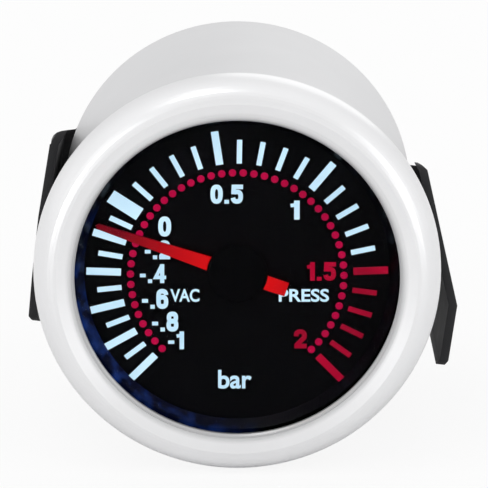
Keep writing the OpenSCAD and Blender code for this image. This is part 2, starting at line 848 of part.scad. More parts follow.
// Side view of the legs: rounded front corners, upper edge sloping down to the bridge
module leg_side_view(top_z, low_z) {
    top_r = leg_h * leg_round_share;
    low_r = top_r / 2;
    translate([-right_leg_reach, 0, 0]) rotate([90, 0, 90]) linear_extrude(2 * right_leg_reach)
        polygon(concat(
            arc([leg_gap + low_r, low_z + low_r], low_r, low_r, 270, 180, 5),
            arc([leg_gap + top_r, top_z - top_r], top_r, top_r, 180, 90, 6),
            [[bridge_rear_y, bridge_top_z], [bridge_rear_y, low_z]]
        ));
}

// Plan view of the bracket with its two rounded rear corners
module bracket_plan() {
    rear_in = (bridge_rear_y - leg_gap) * tan(leg_splay_a);
    left_x = rear_in - left_leg_reach + bridge_round;
    right_x = right_leg_reach - rear_in - bridge_round;
    translate([0, 0, -leg_h]) linear_extrude(2 * leg_h) union() {
        translate([-left_leg_reach, 0])
            square([left_leg_reach + right_leg_reach, bridge_rear_y - bridge_round]);
        translate([left_x, 0]) square([right_x - left_x, bridge_rear_y]);
        for (x = [left_x, right_x])
            translate([x, bridge_rear_y - bridge_round]) circle(r = bridge_round, $fn = small_fn);
    }
}

// Flat washers between bridge and thumb nuts
module bracket_washers() {
    color("silver") for (p = stud_places)
        tube(bracket_washer_r, stud_r + nut_play, bridge_rear_y, bracket_washer_t, p);
}

// Knurled thumb nuts on the studs
module thumb_nuts() {
    color("gold") for (p = stud_places) difference() {
        slab(thumb_nut_y, thumb_nut_t) translate(p) difference() {
            circle(r = thumb_nut_r, $fn = round_fn);
            for (i = [0 : knurl_count - 1]) rotate(i * 360 / knurl_count)
                translate([thumb_nut_r, 0]) circle(r = knurl_r, $fn = 4);
        }
        rod(stud_r + nut_play, thumb_nut_y - cut, thumb_nut_t + 2 * cut, p);
    }
}

bezel_ring();
lens();
lens_gasket();
shade_ring();
case_cup();
dial_plate();
light_guide();
spacer_ring();
lamp_board();
lamps();
pointer();
hub_cap();
pinion_arbor();
spring_collet();
hairspring();
spring_peg();
front_plate();
back_plate();
plate_pillars();
plate_screws();
sector_gear();
sector_arbor();
link();
tube_tip();
bourdon_tube();
pressure_socket();
socket_screws();
stem_seal();
stem_washer();
stem_nut();
wire_grommet();
clamp_studs();
bracket();
bracket_washers();
thumb_nuts();
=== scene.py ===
import math

import bmesh
import bpy
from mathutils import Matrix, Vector


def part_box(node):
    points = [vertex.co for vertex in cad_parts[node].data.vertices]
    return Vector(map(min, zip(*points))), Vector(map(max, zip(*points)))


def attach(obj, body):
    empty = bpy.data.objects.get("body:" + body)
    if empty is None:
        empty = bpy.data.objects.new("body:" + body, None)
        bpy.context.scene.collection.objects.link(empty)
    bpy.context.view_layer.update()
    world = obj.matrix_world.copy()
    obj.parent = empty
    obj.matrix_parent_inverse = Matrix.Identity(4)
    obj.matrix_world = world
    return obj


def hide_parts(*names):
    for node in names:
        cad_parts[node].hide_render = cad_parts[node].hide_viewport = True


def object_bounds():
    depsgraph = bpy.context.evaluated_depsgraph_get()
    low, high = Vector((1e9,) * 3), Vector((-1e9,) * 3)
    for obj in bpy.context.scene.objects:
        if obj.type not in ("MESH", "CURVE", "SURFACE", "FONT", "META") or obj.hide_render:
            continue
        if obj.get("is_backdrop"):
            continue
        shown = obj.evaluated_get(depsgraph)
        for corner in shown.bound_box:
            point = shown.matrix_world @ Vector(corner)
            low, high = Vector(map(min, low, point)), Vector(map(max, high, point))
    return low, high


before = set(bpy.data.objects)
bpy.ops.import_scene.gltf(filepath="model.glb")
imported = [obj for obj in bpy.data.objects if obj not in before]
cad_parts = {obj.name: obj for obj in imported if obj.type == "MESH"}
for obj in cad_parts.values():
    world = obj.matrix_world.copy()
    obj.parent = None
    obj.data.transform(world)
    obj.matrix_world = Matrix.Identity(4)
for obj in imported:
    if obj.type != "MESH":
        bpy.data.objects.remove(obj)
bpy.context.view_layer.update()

print("frame loaded:", len(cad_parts), "nodes")

mm = 0.001


# Camera: the photograph looks down on the dial from far away, so little spreads by perspective
cameraPlan = {
    "tilt": 15.6,              # degrees above the gauge axis
    "distance": 1.3,           # metres
    "focalLength": 652.0,      # millimetres
    "sensorWidth": 36.0,
    "pixels": 488,
    "clip": (0.05, 20.0),      # metres
    "lookAt": (0.0, -1.5 * mm, 0.0),
    "aimRight": 1.0 * mm,      # the gauge stands a little left of the picture's middle, and below it
    "aimUp": 4.04 * mm,
}


def cameraPlace(plan):
    tilt = math.radians(plan["tilt"])
    back = Vector((0.0, -math.cos(tilt), math.sin(tilt)))
    turn = back.to_track_quat("Z", "Y")
    aim = Vector(plan["lookAt"]) + turn @ Vector((plan["aimRight"], plan["aimUp"], 0.0))
    return aim + back * plan["distance"], turn


def placeCamera(plan):
    data = bpy.data.cameras.new("studioCamera")
    data.lens = plan["focalLength"]
    data.sensor_width = plan["sensorWidth"]
    data.clip_start, data.clip_end = plan["clip"]
    camera = linkObject("studioCamera", data)
    camera.rotation_mode = "QUATERNION"
    camera.location, camera.rotation_quaternion = cameraPlace(plan)
    bpy.context.scene.camera = camera


# The point that a pixel of the picture shows at a given depth y behind the panel plane
def pixelPoint(plan, column, row, depth):
    eye, turn = cameraPlace(plan)
    perPixel = plan["sensorWidth"] / plan["focalLength"] / plan["pixels"]
    middle = plan["pixels"] / 2
    ray = turn @ Vector(((column - middle) * perPixel, (middle - row) * perPixel, -1.0))
    return eye + ray * ((depth - eye.y) / ray.y)


# Helpers for node trees, meshes and objects
def addNode(tree, kind, inputs=None, **settings):
    node = tree.nodes.new(kind)
    for name, value in settings.items():
        setattr(node, name, value)
    for name, value in (inputs or {}).items():
        socket = node.inputs[name]
        if isinstance(value, bpy.types.NodeSocket):
            tree.links.new(value, socket)
        else:
            socket.default_value = value
    return node


def addMaths(tree, operation, a, b=0.0):
    return addNode(tree, "ShaderNodeMath", {0: a, 1: b}, operation=operation).outputs[0]


def linkObject(name, data):
    thing = bpy.data.objects.new(name, data)
    bpy.context.collection.objects.link(thing)
    return thing


def addObject(name, mesh, material):
    mesh.materials.clear()
    mesh.materials.append(material)
    return linkObject(name, mesh)


def meshFrom(bm, name):
    mesh = bpy.data.meshes.new(name)
    bm.to_mesh(mesh)
    bm.free()
    return mesh


# The mesh that an object's modifiers or letters give; the object itself isn't kept
def plainMesh(name, holder):
    seen = bpy.context.evaluated_depsgraph_get()
    mesh = bpy.data.meshes.new_from_object(holder.evaluated_get(seen), depsgraph=seen)
    mesh.name = name
    bpy.data.objects.remove(holder)
    return mesh


def shadeSmooth(mesh, sharpAngle=35.0):
    for polygon in mesh.polygons:
        polygon.use_smooth = True
    mesh.set_sharp_from_angle(angle=math.radians(sharpAngle))


placeCamera(cameraPlan)


# Helpers for materials: the object's own coordinates carry every pattern
def newMaterial(name):
    material = bpy.data.materials.new(name)
    material.use_nodes = True
    tree = material.node_tree
    place = addNode(tree, "ShaderNodeTexCoord").outputs["Object"]
    return material, tree, tree.nodes["Principled BSDF"], place


def addNoise(tree, place, scale, detail=2.0, roughness=0.5):
    return addNode(tree, "ShaderNodeTexNoise", {
        "Vector": place, "Scale": scale, "Detail": detail, "Roughness": roughness}).outputs["Fac"]


def addRange(tree, value, start, end, low, high):
    return addNode(tree, "ShaderNodeMapRange", {
        "Value": value, "From Min": start, "From Max": end,
        "To Min": low, "To Max": high}).outputs["Result"]


def addRamp(tree, share, span, colours):
    ramp = addNode(tree, "ShaderNodeValToRGB", {"Fac": share})
    for stop, position, colour in zip(ramp.color_ramp.elements, span, colours):
        stop.position = position
        stop.color = (*colour, 1.0)
    return ramp.outputs["Color"]


def addRadius(tree, place):
    flat = addNode(tree, "ShaderNodeVectorMath", {0: place, 1: (1.0, 0.0, 1.0)}, operation="MULTIPLY")
    length = addNode(tree, "ShaderNodeVectorMath", {0: flat.outputs["Vector"]}, operation="LENGTH")
    return length.outputs["Value"]


def setSockets(tree, shader, values):
    for socket, value in values.items():
        if isinstance(value, bpy.types.NodeSocket):
            tree.links.new(value, shader.inputs[socket])
        else:
            shader.inputs[socket].default_value = value


# Finishes: each plan names its two colours, how rough it is, and the size and depth of its grain
patternPlan = {
    "span": (0.12, 0.88),      # the part of a noise that is used, so wide that no edge of it shows
    "cloudDetail": 4.0, "cloudRoughness": 0.6, "wearShare": 2.3, "wearDetail": 3.0,
}


def makeFinish(name, plan):
    material, tree, shader, place = newMaterial(name)
    span, cloudScale = patternPlan["span"], plan["cloudScale"]
    clouds = addNoise(tree, place, cloudScale, patternPlan["cloudDetail"], patternPlan["cloudRoughness"])
    wear = addNoise(tree, place, cloudScale * patternPlan["wearShare"], patternPlan["wearDetail"])
    bump = addNode(tree, "ShaderNodeBump", {
        "Height": addNoise(tree, place, plan["grainScale"]),
        "Strength": plan["bump"], "Distance": plan["grainDepth"]})
    setSockets(tree, shader, {
        "Base Color": addRamp(tree, clouds, span, (plan["dark"], plan["light"])),
        "Roughness": addRange(tree, wear, *span, *plan["rough"]),
        "Normal": bump.outputs["Normal"], **plan.get("shader", {})})
    return material


finishPlans = {
    "bezelSilver": {
        "dark": (0.80, 0.80, 0.81), "light": (0.86, 0.86, 0.87), "cloudScale": 60.0,
        "rough": (0.27, 0.34), "grainScale": 1700.0, "grainDepth": 0.01 * mm, "bump": 0.06,
        "shader": {"Metallic": 0.45, "Specular IOR Level": 0.4}},
    "casePaint": {
        "dark": (0.65, 0.65, 0.66), "light": (0.70, 0.70, 0.71), "cloudScale": 40.0,
        "rough": (0.42, 0.55), "grainScale": 2600.0, "grainDepth": 0.03 * mm, "bump": 0.35},
    "blackRubber": {
        "dark": (0.012, 0.012, 0.013), "light": (0.028, 0.028, 0.030), "cloudScale": 300.0,
        "rough": (0.62, 0.8), "grainScale": 3000.0, "grainDepth": 0.03 * mm, "bump": 0.4},
    "dialBlack": {
        "dark": (0.0008, 0.0008, 0.0012), "light": (0.0020, 0.0020, 0.0028), "cloudScale": 200.0,
        "rough": (0.6, 0.75), "grainScale": 9000.0, "grainDepth": 0.004 * mm, "bump": 0.1,
        "shader": {"Specular IOR Level": 0.03}},
    "hubBlack": {
        "dark": (0.0006, 0.0006, 0.0010), "light": (0.0014, 0.0014, 0.0020), "cloudScale": 150.0,
        "rough": (0.16, 0.24), "grainScale": 7000.0, "grainDepth": 0.004 * mm, "bump": 0.1,
        "shader": {"Specular IOR Level": 0.02}},
    "clearAcrylic": {
        "dark": (0.80, 0.84, 0.86), "light": (0.90, 0.93, 0.95), "cloudScale": 120.0,
        "rough": (0.10, 0.2), "grainScale": 900.0, "grainDepth": 0.01 * mm, "bump": 0.1,
        "shader": {"Transmission Weight": 0.7, "IOR": 1.49}},
    "blackPlastic": {
        "dark": (0.003, 0.003, 0.004), "light": (0.007, 0.007, 0.008), "cloudScale": 150.0,
        "rough": (0.3, 0.42), "grainScale": 7000.0, "grainDepth": 0.004 * mm, "bump": 0.15,
        "shader": {"Specular IOR Level": 0.2}},
    "boardGreen": {
        "dark": (0.010, 0.10, 0.035), "light": (0.020, 0.16, 0.055), "cloudScale": 260.0,
        "rough": (0.3, 0.42), "grainScale": 1400.0, "grainDepth": 0.02 * mm, "bump": 0.3},
    "lampWhite": {
        "dark": (0.78, 0.82, 0.80), "light": (0.90, 0.92, 0.90), "cloudScale": 500.0,
        "rough": (0.25, 0.35), "grainScale": 2500.0, "grainDepth": 0.01 * mm, "bump": 0.2},
    "steel": {
        "dark": (0.42, 0.42, 0.43), "light": (0.55, 0.55, 0.56), "cloudScale": 220.0,
        "rough": (0.25, 0.38), "grainScale": 2800.0, "grainDepth": 0.015 * mm, "bump": 0.3,
        "shader": {"Metallic": 1.0}},
    "brass": {
        "dark": (0.60, 0.40, 0.14), "light": (0.72, 0.50, 0.20), "cloudScale": 220.0,
        "rough": (0.22, 0.34), "grainScale": 2800.0, "grainDepth": 0.015 * mm, "bump": 0.3,
        "shader": {"Metallic": 1.0}},
    "springBronze": {
        "dark": (0.42, 0.22, 0.10), "light": (0.55, 0.30, 0.15), "cloudScale": 220.0,
        "rough": (0.22, 0.34), "grainScale": 2800.0, "grainDepth": 0.01 * mm, "bump": 0.2,
        "shader": {"Metallic": 1.0}},
    "fittingBrass": {
        "dark": (0.52, 0.36, 0.15), "light": (0.68, 0.49, 0.22), "cloudScale": 180.0,
        "rough": (0.28, 0.42), "grainScale": 2200.0, "grainDepth": 0.02 * mm, "bump": 0.35,
        "shader": {"Metallic": 1.0}},
    "bracketBlack": {
        "dark": (0.010, 0.010, 0.011), "light": (0.019, 0.019, 0.021), "cloudScale": 130.0,
        "rough": (0.42, 0.55), "grainScale": 1800.0, "grainDepth": 0.04 * mm, "bump": 0.4,
        "shader": {"Specular IOR Level": 0.25}},
}
finishes = {name: makeFinish(name, plan) for name, plan in finishPlans.items()}


# Bezel: its step beside the lens lies in its own shade, so the silver is darker there
def shadeStep(material, plan):
    tree = material.node_tree
    shader = tree.nodes["Principled BSDF"]
    colour = shader.inputs["Base Color"].links[0].from_socket
    place = addNode(tree, "ShaderNodeTexCoord").outputs["Object"]
    share = addRange(tree, addRadius(tree, place), plan["inner"], plan["outer"], plan["darkest"], 1.0)
    shaded = addNode(tree, "ShaderNodeVectorMath", {0: colour, "Scale": share}, operation="SCALE")
    setSockets(tree, shader, {"Base Color": shaded.outputs["Vector"]})


shadeStep(finishes["bezelSilver"], {"inner": 24.0 * mm, "outer": 25.3 * mm, "darkest": 0.58})


# Lens: clear glass with a faint film, and so little gloss that the dial stays black behind it
def makeLensGlass():
    plan = {"tint": (0.97, 0.98, 1.0), "rough": (0.0, 0.02), "filmScale": 90.0, "ior": 1.04}
    material, tree, shader, place = newMaterial("lensGlass")
    film = addNoise(tree, place, plan["filmScale"])
    setSockets(tree, shader, {
        "Base Color": (*plan["tint"], 1.0), "Roughness": addRange(tree, film, 0.0, 1.0, *plan["rough"]),
        "Transmission Weight": 1.0, "IOR": plan["ior"]})
    return material


# Lamp-lit print: the light guide shines through it, a little unevenly
glowPlan = {"spreadScale": 130.0, "spreadDetail": 1.0, "span": (0.35, 0.65), "strength": 0.9,
            "rough": 0.5, "gloss": 0.05}


def makeGlow(name, dim, bright, printed):
    material, tree, shader, place = newMaterial(name)
    spread = addNoise(tree, place, glowPlan["spreadScale"], glowPlan["spreadDetail"])
    setSockets(tree, shader, {
        "Base Color": (*printed, 1.0),
        "Emission Color": addRamp(tree, spread, glowPlan["span"], (dim, bright)),
        "Emission Strength": glowPlan["strength"],
        "Roughness": glowPlan["rough"], "Specular IOR Level": glowPlan["gloss"]})
    return material


# Pointer: lit from the hub, so its red is brightest there and sinks towards the tip
def makePointerRed():
    plan = {"near": 3.0 * mm, "far": 18.0 * mm, "nearColour": (0.56, 0.001, 0.002),
            "farColour": (0.13, 0.0, 0.005), "strength": 0.35, "grainScale": 2500.0,
            "rough": (0.35, 0.5), "gloss": 0.08}
    material, tree, shader, place = newMaterial("pointerRed")
    along = addRange(tree, addRadius(tree, place), plan["near"], plan["far"], 0.0, 1.0)
    red = addRamp(tree, along, (0.0, 1.0), (plan["nearColour"], plan["farColour"]))
    grain = addNoise(tree, place, plan["grainScale"])
    setSockets(tree, shader, {
        "Base Color": red, "Emission Color": red, "Emission Strength": plan["strength"],
        "Roughness": addRange(tree, grain, 0.0, 1.0, *plan["rough"]),
        "Specular IOR Level": plan["gloss"]})
    return material


# Shade ring: gloss black with a painted blue sheen, a painted reflection of the lit print, at the lower
# left of its wall
def makeShadeGloss():
    plan = {"colour": (0.0015, 0.0015, 0.003),
            "dim": (0.0008, 0.0015, 0.009), "sheen": (0.006, 0.022, 0.12),
            "towards": (-0.82, 0.0, -0.57), "from": 10.35 * mm, "to": 21.85 * mm,
            "patchScale": 420.0, "patchSpan": (0.45, 0.72), "grainScale": 1500.0,
            "rough": (0.2, 0.3), "gloss": 0.1}
    material, tree, shader, place = newMaterial("shadeGloss")
    # painted sheen: emission strongest towards the lower left, broken into patches like reflected spots
    side = addNode(tree, "ShaderNodeVectorMath", {0: place, 1: plan["towards"]}, operation="DOT_PRODUCT")
    share = addRange(tree, side.outputs["Value"], plan["from"], plan["to"], 0.0, 1.0)
    paintedSheenPatches = addNoise(tree, place, plan["patchScale"])
    grain = addNoise(tree, place, plan["grainScale"])
    setSockets(tree, shader, {
        "Base Color": (*plan["colour"], 1.0),
        "Emission Color": addRamp(tree, paintedSheenPatches, plan["patchSpan"], (plan["dim"], plan["sheen"])),
        "Emission Strength": share,
        "Roughness": addRange(tree, grain, 0.0, 1.0, *plan["rough"]),
        "Specular IOR Level": plan["gloss"]})
    return material


finishes["lensGlass"] = makeLensGlass()
finishes["pointerRed"] = makePointerRed()
finishes["shadeGloss"] = makeShadeGloss()
glowColours = {     # dim, bright and printed
    "markWhite": ((0.44, 0.66, 0.77), (0.54, 0.77, 0.88), (0.21, 0.25, 0.30)),
    "markRed": ((0.22, 0.0, 0.012), (0.38, 0.0, 0.022), (0.10, 0.002, 0.01)),
    "dotRed": ((0.32, 0.0, 0.03), (0.44, 0.0, 0.045), (0.11, 0.002, 0.015)),
}
for name, colours in glowColours.items():
    finishes[name] = makeGlow(name, *colours)

# Which finish each node of the model wears
nodeFinishes = {
    "bezelSilver": ["bezel_ring"],
    "lensGlass": ["lens"],
    "blackRubber": ["lens_gasket", "stem_seal", "wire_grommet"],
    "shadeGloss": ["shade_ring"],
    "casePaint": ["case_cup"],
    "dialBlack": ["dial_plate"],
    "clearAcrylic": ["light_guide"],
    "blackPlastic": ["spacer_ring"],
    "hubBlack": ["hub_cap"],
    "boardGreen": ["lamp_board"],
    "lampWhite": ["lamps"],
    "pointerRed": ["pointer"],
    "steel": ["pinion_arbor", "sector_arbor", "plate_screws", "socket_screws", "stem_washer",
              "stem_nut", "clamp_studs", "bracket_washers", "spring_peg", "link"],
    "brass": ["spring_collet", "front_plate", "back_plate", "plate_pillars", "sector_gear",
              "tube_tip", "thumb_nuts"],
    "springBronze": ["hairspring", "bourdon_tube"],
    "fittingBrass": ["pressure_socket"],
    "bracketBlack": ["bracket"],
}
for finish, nodes in nodeFinishes.items():
    for node in nodes:
        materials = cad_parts[node].data.materials
        materials.clear()
        materials.append(finishes[finish])
bare = set(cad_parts) - {node for nodes in nodeFinishes.values() for node in nodes}
print("finishes done, nodes without one:", sorted(bare))


# A tree of geometry nodes: its sizes, a material and what else it needs come in, a mesh goes out
def newTree(name, sizes):
    tree = bpy.data.node_groups.new(name, "GeometryNodeTree")
    kinds = {int: "NodeSocketInt", float: "NodeSocketFloat", tuple: "NodeSocketVector"}
    for label, value in sizes.items():
        socket = tree.interface.new_socket(label, in_out="INPUT", socket_type=kinds[type(value)])
        socket.default_value = value
    tree.interface.new_socket("Material", in_out="INPUT", socket_type="NodeSocketMaterial")
    tree.interface.new_socket("Geometry", in_out="OUTPUT", socket_type="NodeSocketGeometry")
    return tree, addNode(tree, "NodeGroupInput").outputs


def moveBy(tree, geometry, offset, rotation=(0.0, 0.0, 0.0)):
    return addNode(tree, "GeometryNodeTransform", {
        "Geometry": geometry, "Translation": offset, "Rotation": rotation}).outputs["Geometry"]


def addVector(tree, parts):
    return addNode(tree, "ShaderNodeCombineXYZ", parts).outputs["Vector"]


def copyOnPoints(tree, points, mark, rotation=(0.0, 0.0, 0.0)):
    copies = addNode(tree, "GeometryNodeInstanceOnPoints", {
        "Points": points, "Instance": mark, "Rotation": rotation})
    return addNode(tree, "GeometryNodeRealizeInstances", {
        "Geometry": copies.outputs["Instances"]}).outputs["Geometry"]


def endTree(tree, geometry, material):
    coated = addNode(tree, "GeometryNodeSetMaterial", {"Geometry": geometry, "Material": material})
    addNode(tree, "NodeGroupOutput", {"Geometry": coated.outputs["Geometry"]})


# Dial marks: a tree that swings copies of one mark round the middle of the printed scale
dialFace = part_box("dial_plate")[0].y       # the dial's front, metres
printHeight = 0.05 * mm
printCentre = Vector((0.0, 0.0, -0.58)) * mm     # the middle of the printed scale, read from the photo


def makeRingTree(name, markKind):
    tree, given = newTree(name, {
        "Count": 10, "First Angle": 90.0, "Step Angle": 10.0, "Inner Radius": 10.0 * mm,
        "Length": 3.0 * mm, "Width": 1.0 * mm, "Height": printHeight, "Face": 0.0,
        "Centre": (0.0, 0.0, 0.0)})
    half = addMaths(tree, "MULTIPLY", given["Length"], 0.5)
    middle = addMaths(tree, "ADD", given["Inner Radius"], half)
    depth = addMaths(tree, "ADD", given["Face"], addMaths(tree, "MULTIPLY", given["Height"], -0.5))
    offset = addVector(tree, {"Y": depth, "Z": middle})
    if markKind == "bar":
        size = addVector(tree, {"X": given["Width"], "Y": given["Height"], "Z": given["Length"]})
        mark = addNode(tree, "GeometryNodeMeshCube", {"Size": size}).outputs["Mesh"]
    else:
        radius = addMaths(tree, "MULTIPLY", given["Width"], 0.5)
        disc = addNode(tree, "GeometryNodeMeshCylinder", {
            "Vertices": dotPlan["sides"], "Radius": radius, "Depth": given["Height"]}).outputs["Mesh"]
        mark = moveBy(tree, disc, (0.0, 0.0, 0.0), (math.pi / 2, 0.0, 0.0))
    placed = moveBy(tree, mark, offset)
    points = addNode(tree, "GeometryNodeMeshLine", {"Count": given["Count"], "Offset": (0.0, 0.0, 0.0)})
    index = addNode(tree, "GeometryNodeInputIndex").outputs["Index"]
    along = addMaths(tree, "MULTIPLY", index, given["Step Angle"])
    angle = addMaths(tree, "ADD", given["First Angle"], along)
    turned = addMaths(tree, "RADIANS", addMaths(tree, "SUBTRACT", 90.0, angle))
    ring = copyOnPoints(tree, points.outputs["Mesh"], placed, addVector(tree, {"Y": turned}))
    endTree(tree, moveBy(tree, ring, given["Centre"]), given["Material"])
    return tree


# A piece made by a tree: the inputs are set before it is evaluated, and the result is a plain mesh
def pieceFromTree(name, tree, inputs, material):
    holder = linkObject(name + "Holder", bpy.data.meshes.new(name + "Holder"))
    modifier = holder.modifiers.new("tree", "NODES")
    modifier.node_group = tree
    for item in tree.interface.items_tree:
        if item.in_out == "INPUT" and item.name in inputs:
            modifier[item.identifier] = inputs[item.name]
        if item.in_out == "INPUT" and item.name == "Material":
            modifier[item.identifier] = material
    return addObject(name, plainMesh(name, holder), material)


dotPlan = {"count": 48, "radius": 15.7 * mm, "width": 1.1 * mm, "firstAngle": 225.2, "lastAngle": -45.9,
           "sides": 20}
barTree = makeRingTree("barRing", "bar")
dotTree = makeRingTree("dotRing", "dot")

# The scale runs from -1 bar at the lower left over zero to 2 bar at the lower right
scalePlan = {
    "lowAngle": 225.1, "zeroAngle": 146.8, "highAngle": -45.9,    # degrees, anticlockwise from the right
    "barsBelow": 1.0, "barsAbove": 2.0, "step": 0.1,
    "innerRadius": 17.1 * mm, "minorLength": 3.6 * mm, "majorLength": 5.1 * mm,
    "minorWidth": 0.77 * mm, "majorWidth": 1.1 * mm, "zeroWidth": 2.05 * mm,
}
stepsBelow = scalePlan["barsBelow"] / scalePlan["step"]
stepsAbove = scalePlan["barsAbove"] / scalePlan["step"]
stepBelow = (scalePlan["zeroAngle"] - scalePlan["lowAngle"]) / stepsBelow
stepAbove = (scalePlan["highAngle"] - scalePlan["zeroAngle"]) / stepsAbove


def scaleAngle(bar):
    step = stepBelow if bar < 0 else stepAbove
    return scalePlan["zeroAngle"] + step * bar / scalePlan["step"]


def addTicks(name, firstBar, stepBars, count, kind, material):
    step = stepBelow if firstBar < 0 else stepAbove
    inputs = {
        "Count": count, "First Angle": scaleAngle(firstBar),
        "Step Angle": step * stepBars / scalePlan["step"],
        "Inner Radius": scalePlan["innerRadius"],
        "Length": scalePlan["minorLength" if kind == "minor" else "majorLength"],
        "Width": scalePlan[kind + "Width"], "Height": printHeight, "Face": dialFace,
        "Centre": printCentre}
    piece = pieceFromTree(name, barTree, inputs, material)
    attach(piece, "gauge")
    return piece


tickRuns = [
    ("vacuumMajorTicks", -1.0, 0.2, 5, "major", "markWhite"),
    ("vacuumMinorTicks", -0.9, 0.2, 5, "minor", "markWhite"),
    ("zeroTick", 0.0, 1.0, 1, "zero", "markWhite"),
    ("lowMinorTicks", 0.1, 0.1, 4, "minor", "markWhite"),
    ("halfTick", 0.5, 1.0, 1, "major", "markWhite"),
    ("midMinorTicks", 0.6, 0.1, 4, "minor", "markWhite"),
    ("oneTick", 1.0, 1.0, 1, "major", "markWhite"),
    ("highMinorTicks", 1.1, 0.1, 4, "minor", "markWhite"),
    ("redMajorTicks", 1.5, 0.5, 2, "major", "markRed"),
    ("redMinorTicks", 1.6, 0.1, 4, "minor", "markRed"),
]
for name, firstBar, stepBars, count, kind, finish in tickRuns:
    addTicks(name, firstBar, stepBars, count, kind, finishes[finish])

dots = pieceFromTree("scaleDots", dotTree, {
    "Count": dotPlan["count"], "First Angle": dotPlan["firstAngle"],
    "Step Angle": (dotPlan["lastAngle"] - dotPlan["firstAngle"]) / (dotPlan["count"] - 1),
    "Inner Radius": dotPlan["radius"], "Length": 0.0, "Width": dotPlan["width"],
    "Height": printHeight, "Face": dialFace, "Centre": printCentre}, finishes["dotRed"])
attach(dots, "gauge")
print("ticks and dots done")

# Heavy narrow digits, drawn as pen strokes in a box one unit high; x runs from the digit's middle
penPlan = {
    "width": 0.235, "halfWidth": 0.2, "low": 0.115, "high": 0.885, "space": 0.07,
    "thinShare": 0.8,          # how wide the slanted and level strokes are beside the upright ones
    "bowSteps": 12, "loopSteps": 23, "squareness": 0.8, "leastMitre": 0.5,
}


def bow(across, up, radiusX, radiusY, fromAngle, toAngle, steps=penPlan["bowSteps"]):
    squareness = penPlan["squareness"]
    points = []
    for i in range(steps + 1):
        angle = math.radians(fromAngle + (toAngle - fromAngle) * i / steps)
        c, s = math.cos(angle), math.sin(angle)
        points.append((across + radiusX * math.copysign(abs(c) ** squareness, c),
                       up + radiusY * math.copysign(abs(s) ** squareness, s)))
    return points


def digitStrokes():
    half, low, high = penPlan["halfWidth"], penPlan["low"], penPlan["high"]
    pen = penPlan["width"]
    thin = pen * penPlan["thinShare"]

    def loop(up, radiusX, radiusY):
        steps = penPlan["loopSteps"]
        return "loop", pen, bow(0, up, radiusX, radiusY, 0, 360 * steps / (steps + 1), steps)

    return {
        "0": (0.64, [loop(0.5, half, high - 0.5)]),
        "1": (0.42, [("line", pen, [(0.07, 0.0), (0.07, 1.0)]),
                     ("line", thin, [(0.07, 0.86), (-0.04, 0.76), (-0.2, 0.74)])]),
        "2": (0.64, [("line", pen, bow(0, 0.67, half, high - 0.67, 185, -25)
                      + [(-half + 0.03, low + 0.06), (-half + 0.03, low), (half + pen / 2, low)])]),
        "4": (0.70, [("line", pen, [(0.12, 0.0), (0.12, 1.0)]),
                     ("line", thin, [(0.08, 0.9), (-0.24, 0.3), (0.34, 0.3)])]),
        "5": (0.64, [("line", pen, [(half + pen / 2, high), (-half + 0.05, high), (-half + 0.03, 0.5)]),
                     ("line", pen, bow(0, 0.37, half, 0.37 - low, 125, -170))]),
        "6": (0.64, [loop(0.35, half, 0.35 - low),
                     ("line", pen, [(-half, 0.35)] + bow(0, 0.66, half, high - 0.66, 180, 5))]),
        "8": (0.64, [loop(0.32, half, 0.32 - low), loop(0.7, half * 0.92, high - 0.7)]),
        ".": (0.26, [("line", pen, [(0.0, 0.0), (0.0, 0.2)])]),
        "-": (0.40, [("line", thin, [(-0.16, 0.4), (0.16, 0.4)])]),
    }


# A stroke is a flat ribbon: its two edges stand half a pen off the path, mitred at the corners
def strokeEdges(path, width, closed):
    count = len(path)
    left, right = [], []
    for i, (x, y) in enumerate(path):
        before = path[i - 1] if i or closed else None
        after = path[(i + 1) % count] if i < count - 1 or closed else None
        ways = [Vector((b[0] - a[0], b[1] - a[1])).normalized()
                for a, b in ((before, (x, y)), ((x, y), after)) if a and b]
        side = sum((Vector((-way.y, way.x)) for way in ways), Vector((0.0, 0.0))).normalized()
        reach = width / 2 / max(side.dot(Vector((-ways[0].y, ways[0].x))), penPlan["leastMitre"])
        left.append((x + side.x * reach, y + side.y * reach))
        right.append((x - side.x * reach, y - side.y * reach))
    return left, right


def addStroke(bm, path, width, closed, place):
    left, right = strokeEdges(path, width, closed)
    rings = [[bm.verts.new(place(point, depth)) for point, depth in
              ((l, 0.0), (l, 1.0), (r, 1.0), (r, 0.0))] for l, r in zip(left, right)]
    pairs = list(zip(rings, rings[1:] + rings[:1])) if closed else list(zip(rings, rings[1:]))
    for a, b in pairs:
        for i in range(4):
            bm.faces.new((a[i], a[(i + 1) % 4], b[(i + 1) % 4], b[i]))
    if not closed:
        bm.faces.new(rings[0][::-1])
        bm.faces.new(rings[-1])


def addNumber(bm, text, across, up, width, height):
    digits = digitStrokes()
    total = sum(digits[c][0] for c in text) + penPlan["space"] * (len(text) - 1)
    scale = width / total
    cursor = -total / 2
    for c in text:
        advance, strokes = digits[c]
        middle = cursor + advance / 2

        def place(point, depth, middle=middle):
            return ((across + (middle + point[0]) * scale) * mm, dialFace - depth * printHeight,
                    (up + (point[1] - 0.5) * height) * mm)

        for kind, pen, path in strokes:
            addStroke(bm, path, pen, kind == "loop", place)
        cursor += advance + penPlan["space"]


# Words use the built-in letters, widened to a bold weight
wordPlan = {"bold": 0.022, "thickness": 0.1, "curveSteps": 6}


def addWord(bm, text, across, up, width, height):
    curve = bpy.data.curves.new("letters", "FONT")
    curve.body = text
    curve.offset = wordPlan["bold"]
    curve.extrude = wordPlan["thickness"]
    curve.resolution_u = wordPlan["curveSteps"]
    mesh = plainMesh("letters", linkObject("letters", curve))
    low = [min(v.co[i] for v in mesh.vertices) for i in range(3)]
    high = [max(v.co[i] for v in mesh.vertices) for i in range(3)]
    for vertex in mesh.vertices:
        share = [(vertex.co[i] - low[i]) / (high[i] - low[i]) for i in range(3)]
        vertex.co = (
            (across + (share[0] - 0.5) * width) * mm,
            dialFace - share[2] * printHeight,
            (up + (share[1] - 0.5) * height) * mm)
    bm.from_mesh(mesh)
    bpy.data.meshes.remove(mesh)


